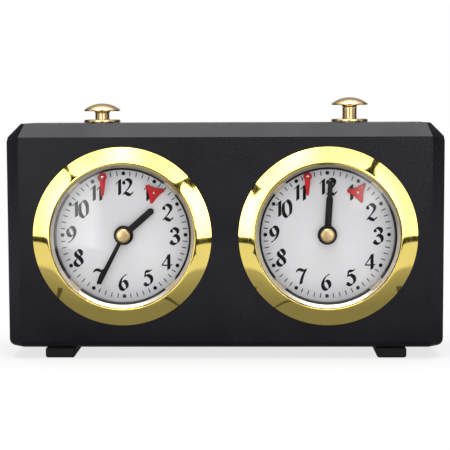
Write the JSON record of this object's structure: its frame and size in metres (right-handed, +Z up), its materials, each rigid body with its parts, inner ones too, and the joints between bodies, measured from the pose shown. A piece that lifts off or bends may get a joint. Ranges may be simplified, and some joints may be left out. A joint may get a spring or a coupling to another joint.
{
  "type": "analogue chess clock",
  "caption": "Wind-up analogue chess clock: black case, twin white dials in brass bezels, mushroom buttons on a rocker, flags, keys and setting knobs behind.",
  "frame": {"origin": "under the middle of the whole, on the plane that the feet stand on", "axes": "+Z up, -Y towards the player who faces the dials, +X to that viewer's right"},
  "size_m": [0.1914, 0.0632, 0.1143],
  "materials": {
    "case_plastic": "fine matte texture",
    "cover_plastic": "fine matte texture",
    "rocker_plastic": "plain",
    "foot_rubber": "matte",
    "bezel_brass": "polished and lacquered",
    "lens_glass": "clear",
    "dial_white": "satin white with black print",
    "hand_black": "satin black",
    "signal_red": "red",
    "button_brass": "turned, satin",
    "key_brass": "plated",
    "movement_brass": "stamped",
    "movement_steel": "ground",
    "spring_steel": "blued grey",
    "pin_steel": "bright"
  },
  "bodies": {
    "case": {"case_shell": "case_plastic", "back_cover": "cover_plastic", "rocker_pin": "pin_steel", "left_foot": "foot_rubber", "left_bezel": "bezel_brass", "left_lens": "lens_glass", "left_dial": "dial_white", "left_flag_pin": "pin_steel", "left_button_collar": "button_brass", "left_front_plate": "movement_brass", "left_back_plate": "movement_brass", "left_hairspring": "spring_steel", "right_foot": "foot_rubber", "right_bezel": "bezel_brass", "right_lens": "lens_glass", "right_dial": "dial_white", "right_flag_pin": "pin_steel", "right_button_collar": "button_brass", "right_front_plate": "movement_brass", "right_back_plate": "movement_brass", "right_hairspring": "spring_steel"},
    "rocker": {"rocker": "rocker_plastic"},
    "left_button": {"left_button": "button_brass"},
    "left_minute": {"left_centre_arbor": "movement_steel", "left_minute_hand": "hand_black", "left_hand_cap": "button_brass", "left_set_knob": "key_brass"},
    "left_hour": {"left_hour_wheel": "movement_brass", "left_hour_hand": "hand_black"},
    "left_motion": {"left_minute_wheel": "movement_brass"},
    "left_flag": {"left_flag": "signal_red"},
    "left_winding": {"left_winding_key": "key_brass"},
    "left_fourth": {"left_fourth_wheel": "movement_brass"},
    "left_third": {"left_third_wheel": "movement_brass"},
    "left_centre": {"left_centre_wheel": "movement_brass"},
    "left_barrel": {"left_barrel": "movement_brass", "left_mainspring": "spring_steel"},
    "left_escape": {"left_escape_wheel": "movement_brass", "left_run_indicator": "signal_red"},
    "left_pallet": {"left_pallet_lever": "movement_steel"},
    "left_balance": {"left_balance_wheel": "movement_brass"},
    "right_button": {"right_button": "button_brass"},
    "right_minute": {"right_centre_arbor": "movement_steel", "right_minute_hand": "hand_black", "right_hand_cap": "button_brass", "right_set_knob": "key_brass"},
    "right_hour": {"right_hour_wheel": "movement_brass", "right_hour_hand": "hand_black"},
    "right_motion": {"right_minute_wheel": "movement_brass"},
    "right_flag": {"right_flag": "signal_red"},
    "right_winding": {"right_winding_key": "key_brass"},
    "right_fourth": {"right_fourth_wheel": "movement_brass"},
    "right_third": {"right_third_wheel": "movement_brass"},
    "right_centre": {"right_centre_wheel": "movement_brass"},
    "right_barrel": {"right_barrel": "movement_brass", "right_mainspring": "spring_steel"},
    "right_escape": {"right_escape_wheel": "movement_brass", "right_run_indicator": "signal_red"},
    "right_pallet": {"right_pallet_lever": "movement_steel"},
    "right_balance": {"right_balance_wheel": "movement_brass"}
  },
  "joints": [
    {"name": "rocker_tilt", "type": "hinge", "parent": "case", "child": "rocker", "pos_m": [0, -0.0051, 0.0926], "axis": [0, 1, 0], "range_deg": [0, 2.48]},
    {"name": "left_button_press", "type": "slide", "parent": "case", "child": "left_button", "axis": [0, 0, 1], "range_m": [0, 0.00241]},
    {"name": "left_minute_turn", "type": "hinge", "parent": "case", "child": "left_minute", "pos_m": [-0.0448, -0.02135, 0.054], "axis": [0, 1, 0], "continuous": true},
    {"name": "left_hour_turn", "type": "hinge", "parent": "case", "child": "left_hour", "pos_m": [-0.0448, -0.02135, 0.054], "axis": [0, 1, 0], "continuous": true},
    {"name": "left_motion_turn", "type": "hinge", "parent": "case", "child": "left_motion", "pos_m": [-0.05187, -0.01775, 0.06107], "axis": [0, 1, 0], "continuous": true},
    {"name": "left_flag_turn", "type": "hinge", "parent": "case", "child": "left_flag", "pos_m": [-0.0536, -0.02565, 0.07984], "axis": [0, -1, 0], "range_deg": [0, 85]},
    {"name": "left_winding_turn", "type": "hinge", "parent": "case", "child": "left_winding", "pos_m": [-0.05638, 0.01915, 0.04242], "axis": [0, -1, 0], "continuous": true},
    {"name": "left_fourth_turn", "type": "hinge", "parent": "case", "child": "left_fourth", "pos_m": [-0.03224, -0.0038, 0.06345], "axis": [0, 1, 0], "continuous": true},
    {"name": "left_third_turn", "type": "hinge", "parent": "case", "child": "left_third", "pos_m": [-0.03402, -0.0038, 0.0534], "axis": [0, 1, 0], "continuous": true},
    {"name": "left_centre_turn", "type": "hinge", "parent": "case", "child": "left_centre", "pos_m": [-0.0448, -0.0038, 0.054], "axis": [0, 1, 0], "continuous": true},
    {"name": "left_barrel_turn", "type": "hinge", "parent": "case", "child": "left_barrel", "pos_m": [-0.05638, -0.0038, 0.04242], "axis": [0, 1, 0], "continuous": true},
    {"name": "left_escape_turn", "type": "hinge", "parent": "case", "child": "left_escape", "pos_m": [-0.03144, -0.0038, 0.0726], "axis": [0, 1, 0], "continuous": true},
    {"name": "left_pallet_turn", "type": "hinge", "parent": "case", "child": "left_pallet", "pos_m": [-0.03758, -0.0038, 0.07346], "axis": [0, 1, 0], "range_deg": [-4, 4]},
    {"name": "left_balance_turn", "type": "hinge", "parent": "case", "child": "left_balance", "pos_m": [-0.04491, -0.0038, 0.07449], "axis": [0, 1, 0], "range_deg": [-130, 130]},
    {"name": "right_button_press", "type": "slide", "parent": "case", "child": "right_button", "axis": [0, 0, 1], "range_m": [-0.00241, 0]},
    {"name": "right_minute_turn", "type": "hinge", "parent": "case", "child": "right_minute", "pos_m": [0.0448, -0.02135, 0.054], "axis": [0, 1, 0], "continuous": true},
    {"name": "right_hour_turn", "type": "hinge", "parent": "case", "child": "right_hour", "pos_m": [0.0448, -0.02135, 0.054], "axis": [0, 1, 0], "continuous": true},
    {"name": "right_motion_turn", "type": "hinge", "parent": "case", "child": "right_motion", "pos_m": [0.03773, -0.01775, 0.06107], "axis": [0, 1, 0], "continuous": true},
    {"name": "right_flag_turn", "type": "hinge", "parent": "case", "child": "right_flag", "pos_m": [0.036, -0.02565, 0.07984], "axis": [0, -1, 0], "range_deg": [0, 85]},
    {"name": "right_winding_turn", "type": "hinge", "parent": "case", "child": "right_winding", "pos_m": [0.03322, 0.01915, 0.04242], "axis": [0, -1, 0], "continuous": true},
    {"name": "right_fourth_turn", "type": "hinge", "parent": "case", "child": "right_fourth", "pos_m": [0.05736, -0.0038, 0.06345], "axis": [0, 1, 0], "continuous": true},
    {"name": "right_third_turn", "type": "hinge", "parent": "case", "child": "right_third", "pos_m": [0.05558, -0.0038, 0.0534], "axis": [0, 1, 0], "continuous": true},
    {"name": "right_centre_turn", "type": "hinge", "parent": "case", "child": "right_centre", "pos_m": [0.0448, -0.0038, 0.054], "axis": [0, 1, 0], "continuous": true},
    {"name": "right_barrel_turn", "type": "hinge", "parent": "case", "child": "right_barrel", "pos_m": [0.03322, -0.0038, 0.04242], "axis": [0, 1, 0], "continuous": true},
    {"name": "right_escape_turn", "type": "hinge", "parent": "case", "child": "right_escape", "pos_m": [0.05816, -0.0038, 0.0726], "axis": [0, 1, 0], "continuous": true},
    {"name": "right_pallet_turn", "type": "hinge", "parent": "case", "child": "right_pallet", "pos_m": [0.05202, -0.0038, 0.07346], "axis": [0, 1, 0], "range_deg": [-4, 4]},
    {"name": "right_balance_turn", "type": "hinge", "parent": "case", "child": "right_balance", "pos_m": [0.04469, -0.0038, 0.07449], "axis": [0, 1, 0], "range_deg": [-130, 130]}
  ],
  "couplings": [
    {"joint": "left_button_press", "follows": "rocker_tilt", "m_per_rad": 0.0555},
    {"joint": "left_motion_turn", "follows": "left_minute_turn", "ratio": -0.33333},
    {"joint": "left_hour_turn", "follows": "left_minute_turn", "ratio": 0.083333},
    {"joint": "left_third_turn", "follows": "left_fourth_turn", "ratio": -0.2},
    {"joint": "left_centre_turn", "follows": "left_fourth_turn", "ratio": 0.033333},
    {"joint": "left_barrel_turn", "follows": "left_fourth_turn", "ratio": -0.0055556},
    {"joint": "left_escape_turn", "follows": "left_fourth_turn", "ratio": -5},
    {"joint": "right_button_press", "follows": "rocker_tilt", "m_per_rad": -0.0555},
    {"joint": "right_motion_turn", "follows": "right_minute_turn", "ratio": -0.33333},
    {"joint": "right_hour_turn", "follows": "right_minute_turn", "ratio": 0.083333},
    {"joint": "right_third_turn", "follows": "right_fourth_turn", "ratio": -0.2},
    {"joint": "right_centre_turn", "follows": "right_fourth_turn", "ratio": 0.033333},
    {"joint": "right_barrel_turn", "follows": "right_fourth_turn", "ratio": -0.0055556},
    {"joint": "right_escape_turn", "follows": "right_fourth_turn", "ratio": -5}
  ]
}
